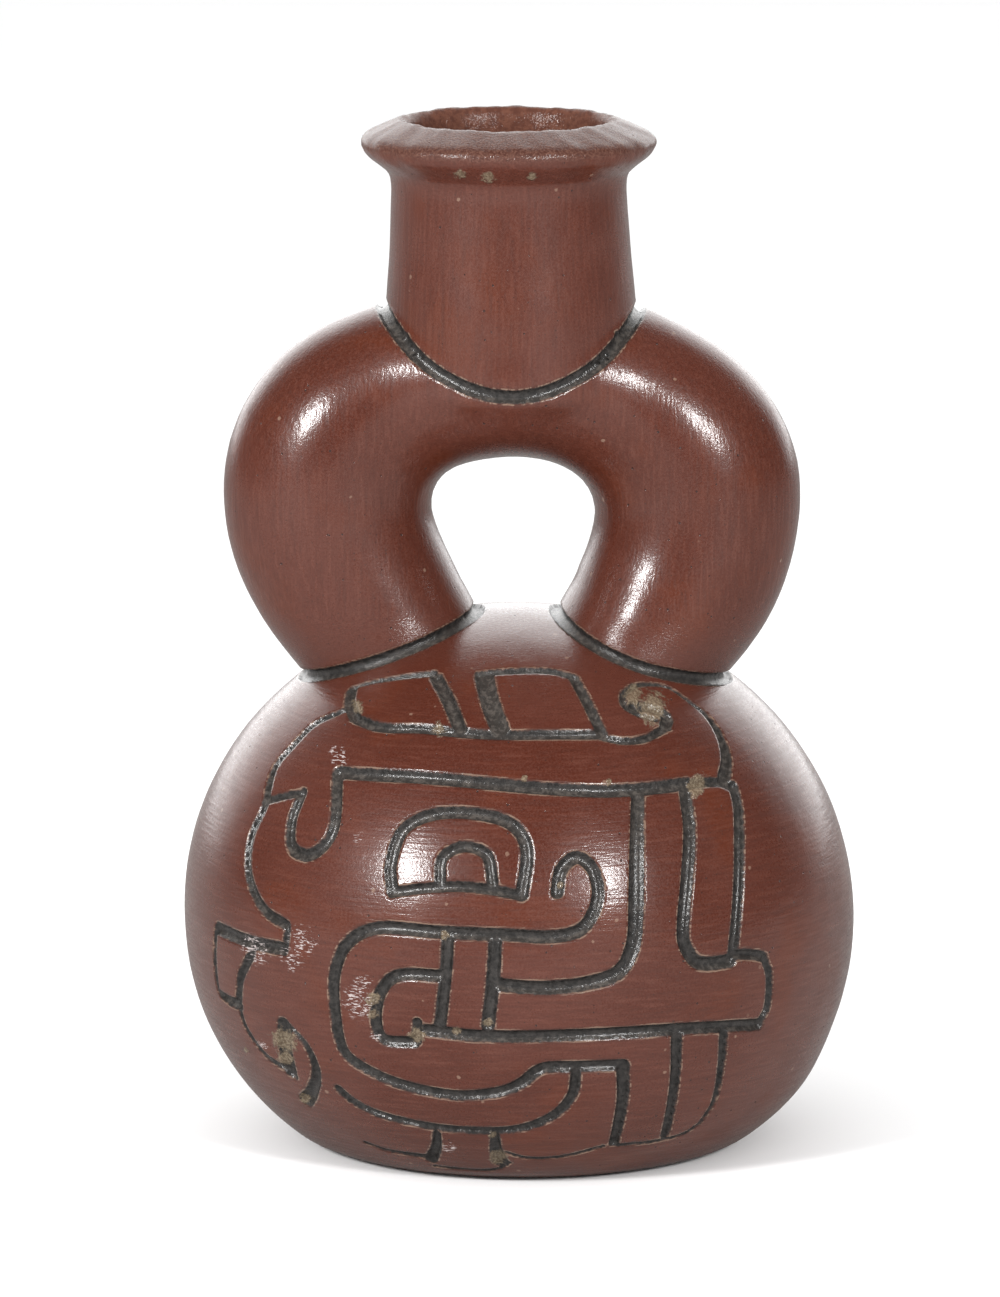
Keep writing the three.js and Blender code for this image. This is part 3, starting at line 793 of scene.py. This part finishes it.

# the flange's top and lip, worn matt and grainy, with its clay painted paler as a painted highlight where light from
# above falls
rim = between(calc("ADD", height_m, calc("MULTIPLY", grit, 0.0022)), 0.2207, 0.2228)
# painted highlight: the flange's clay is painted paler and greyer, as if lit from above
worn_rim_with_painted_light = blend(between(fine_grain, 0.38, 0.66), (0.048, 0.014, 0.008, 1), (0.110, 0.050, 0.034, 1))
worn_rim_with_painted_light = blend(between(grit, 0.52, 0.30, 0.0, 0.7), worn_rim_with_painted_light, (0.045, 0.016, 0.011, 1))
colour = blend(calc("MULTIPLY", rim, 0.8), colour, worn_rim_with_painted_light)

# the grooves: grey graphite, with a painted highlight on the banks that face up, where light from above falls, and a
# pale line painted along the lips
edge_mm = calc("ADD", layer("edge"), calc("MULTIPLY", calc("SUBTRACT", grit, 0.5), 0.55))
filled = between(edge_mm, 0.08, -0.22)
graphite = blend(between(grit, 0.35, 0.68), (0.010, 0.0088, 0.0082, 1), (0.029, 0.0255, 0.0235, 1))
streak = between(grit, 0.45, 0.65)
# painted highlight: the banks that face up are painted paler, as if lit from above
up_bank_painted_highlight = calc("MULTIPLY", between(facing.outputs["Z"], 0.05, 0.75), between(streak, 0.0, 1.0, 0.35, 1.0))
graphite = blend(calc("MULTIPLY", up_bank_painted_highlight, 0.6), graphite, (0.086, 0.073, 0.062, 1))
colour = blend(between(edge_mm, 0.75, 0.0, 0.0, 0.35), colour, (0.036, 0.0150, 0.0110, 1))
colour = blend(filled, colour, graphite)
# a thin pale line along each groove's lip: partly wear, partly a painted highlight where the lip catches the light
lip = between(calc("ABSOLUTE", calc("SUBTRACT", edge_mm, 0.10)), 0.24, 0.06)
lip = calc("MULTIPLY", lip, between(strokes, 0.44, 0.60))
colour = blend(calc("MULTIPLY", lip, 0.75), colour, (0.175, 0.118, 0.085, 1))

# tan earth left in corners, and pale scuffs
tan = between(calc("ADD", layer("tan"), calc("MULTIPLY", calc("SUBTRACT", grit, 0.5), 1.3)), 0.42, 0.72)
earth = blend(between(fine_grain, 0.4, 0.65), (0.085, 0.058, 0.034, 1), (0.175, 0.138, 0.092, 1))
colour = blend(calc("MULTIPLY", tan, 0.85), colour, earth)
scratches = noise((1.6, 1.6, 0.35), 2.0, 0.75)
pale = between(calc("MULTIPLY", layer("pale"), between(scratches, 0.50, 0.66)), 0.15, 0.5)
colour = blend(calc("MULTIPLY", pale, 0.9), colour, (0.360, 0.310, 0.300, 1))

# inside it is bare, rough clay
bare = blend(between(grit, 0.35, 0.65), (0.070, 0.024, 0.015, 1), (0.110, 0.042, 0.026, 1))
colour = blend(layer("inner"), colour, bare)
links.new(colour, shader.inputs["Base Color"])

rough = calc("ADD", between(strokes, 0.30, 0.70, 0.34, 0.27), between(fine_grain, 0.3, 0.7, -0.05, 0.10))
rough = calc("ADD", rough, between(cloud, 0.35, 0.65, 0.0, 0.06))
rough = calc("ADD", rough, calc("MULTIPLY", filled, 0.08))
rough = calc("ADD", rough, calc("MULTIPLY", rim, 0.28))
rough = calc("ADD", rough, calc("MULTIPLY", calc("MAXIMUM", tan, calc("MAXIMUM", pit, layer("inner"))), 0.40))
links.new(rough, shader.inputs["Roughness"])

relief = calc("MULTIPLY", fine_grain, 0.030)
relief = calc("ADD", relief, calc("MULTIPLY", grit, 0.035))
relief = calc("ADD", relief, calc("MULTIPLY", strokes, 0.055))
relief = calc("SUBTRACT", relief, calc("MULTIPLY", pit, 0.10))
coarse = calc("MAXIMUM", rim, calc("MULTIPLY", filled, 0.6))
relief = calc("ADD", relief, calc("MULTIPLY", calc("MULTIPLY", fine_grain, coarse), 0.10))
relief = calc("ADD", relief, calc("MULTIPLY", tan, 0.12))
bump = nodes.new("ShaderNodeBump")
bump.inputs["Strength"].default_value = 1.0
bump.inputs["Distance"].default_value = 0.001  # relief is in mm
links.new(relief, bump.inputs["Height"])
links.new(bump.outputs["Normal"], shader.inputs["Normal"])
shader.inputs["Specular IOR Level"].default_value = 0.22
shader.inputs["Coat Weight"].default_value = 0.45
shader.inputs["Coat Roughness"].default_value = 0.15
links.new(bump.outputs["Normal"], shader.inputs["Coat Normal"])
mesh.materials.append(clay_look)

# ---- Stage ----

bpy.context.scene.view_settings.view_transform = "Standard"

bpy.ops.mesh.primitive_plane_add(size=12)
ground = bpy.context.object
ground.name = "ground"
paper = bpy.data.materials.new("paper")
paper.use_nodes = True
sheet = paper.node_tree
sheet.nodes["Principled BSDF"].inputs["Roughness"].default_value = 0.9
# it shows dimmer in reflections, as a small sheet of paper in a dark room would
mirror = sheet.nodes.new("ShaderNodeMix")
mirror.data_type = "RGBA"
mirror.inputs["A"].default_value = (0.97, 0.97, 0.97, 1)
mirror.inputs["B"].default_value = (0.38, 0.37, 0.36, 1)
sheet.links.new(sheet.nodes.new("ShaderNodeLightPath").outputs["Is Glossy Ray"], mirror.inputs["Factor"])
sheet.links.new(mirror.outputs["Result"], sheet.nodes["Principled BSDF"].inputs["Base Color"])
ground.data.materials.append(paper)

# a white studio, whose reflection is bright behind and dark in front, where the photographer stands
world = bpy.data.worlds.new("studio")
bpy.context.scene.world = world
world.use_nodes = True
sky = world.node_tree
look = sky.nodes.new("ShaderNodeTexCoord").outputs["Generated"]
toward = sky.nodes.new("ShaderNodeVectorMath")
toward.operation = "DOT_PRODUCT"
sky.links.new(look, toward.inputs[0])
toward.inputs[1].default_value = (0.0, 0.99, 0.12)
glow = sky.nodes.new("ShaderNodeMapRange")
glow.interpolation_type = "SMOOTHSTEP"
for socket, number in zip(list(glow.inputs)[1:5], (0.50, 0.90, 0.05, 3.0)):
    socket.default_value = number
sky.links.new(toward.outputs["Value"], glow.inputs["Value"])
ways = sky.nodes.new("ShaderNodeMix")
ways.inputs["A"].default_value = 0.98
sky.links.new(sky.nodes.new("ShaderNodeLightPath").outputs["Is Glossy Ray"], ways.inputs["Factor"])
sky.links.new(glow.outputs["Result"], ways.inputs["B"])
sky.links.new(ways.outputs["Result"], sky.nodes["Background"].inputs["Strength"])
sky.nodes["Background"].inputs["Color"].default_value = (1, 1, 1, 1)


def softbox(name, place, aim, size, power):
    light = bpy.data.lights.new(name, "AREA")
    light.shape = "RECTANGLE"
    light.size, light.size_y = size
    light.energy = power
    lamp = bpy.data.objects.new(name, light)
    lamp.location = place
    lamp.rotation_euler = (Vector(aim) - Vector(place)).to_track_quat("-Z", "Y").to_euler()
    bpy.context.collection.objects.link(lamp)


softbox("left_box", (-1.10, -1.20, 0.84), (0, 0, 0.12), (0.24, 0.34), 30)
softbox("right_box", (0.85, -1.35, 0.78), (0, 0, 0.12), (0.17, 0.30), 20)

camera = bpy.data.cameras.new("camera")
camera.sensor_width = 36
camera.lens = 245.4
eye = bpy.data.objects.new("camera", camera)
eye.location = (-0.00379, -1.915, 0.456)
eye.rotation_euler = (Vector((-0.00419, 0, 0.1088)) - eye.location).to_track_quat("-Z", "Y").to_euler()
bpy.context.collection.objects.link(eye)
bpy.context.scene.camera = eye
